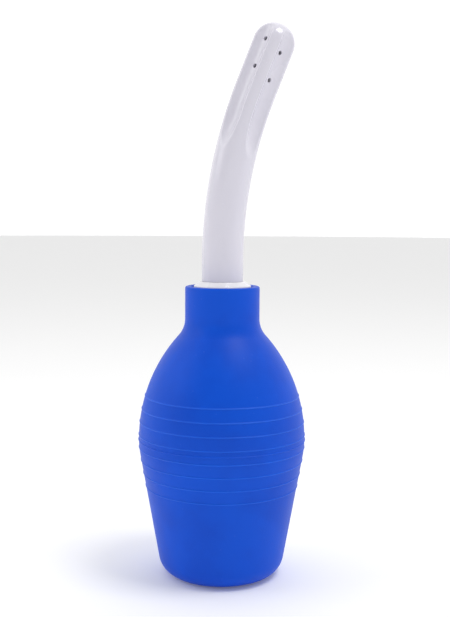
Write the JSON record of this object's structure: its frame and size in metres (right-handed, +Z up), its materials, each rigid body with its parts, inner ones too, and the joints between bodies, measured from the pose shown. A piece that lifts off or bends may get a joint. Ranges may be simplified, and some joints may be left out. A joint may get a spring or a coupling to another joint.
{
  "type": "bulb syringe",
  "caption": "Soft ringed squeeze bulb with a short neck and a screw-in curved nozzle whose fluted, rounded tip has small spray holes.",
  "frame": {"origin": "centre of the flat base of the bulb, on the surface it stands on", "axes": "+Z up along the bulb's axis, +X the side that the nozzle bends towards, -Y the front"},
  "size_m": [0.076, 0.076, 0.2479],
  "materials": {
    "bulb_rubber": "matte",
    "bush_plastic": "satin",
    "washer_rubber": "matte",
    "plug_plastic": "gloss",
    "nozzle_plastic": "gloss"
  },
  "bodies": {
    "bulb": {"squeeze_bulb": "bulb_rubber"},
    "neck_fitting": {"neck_bush": "bush_plastic"},
    "seal": {"seal_washer": "washer_rubber"},
    "nozzle": {"screw_plug": "plug_plastic", "nozzle_tube": "nozzle_plastic"}
  },
  "joints": [
    {"name": "bulb_squeeze", "type": "slide", "parent": "bulb", "child": "neck_fitting", "axis": [0, 0, -1], "range_m": [0, 0.03], "stiffness_N_per_m": 800, "deforming": ["squeeze_bulb"]},
    {"name": "nozzle_lift", "type": "slide", "parent": "neck_fitting", "child": "seal", "axis": [0, 0, 1], "range_m": [0, 0.016]},
    {"name": "nozzle_turn", "type": "hinge", "parent": "seal", "child": "nozzle", "pos_m": [0, 0, 0.1291], "axis": [0, 0, 1], "range_deg": [0, 1440]}
  ],
  "couplings": [
    {"joint": "nozzle_turn", "follows": "nozzle_lift", "rad_per_m": 1570.8}
  ]
}
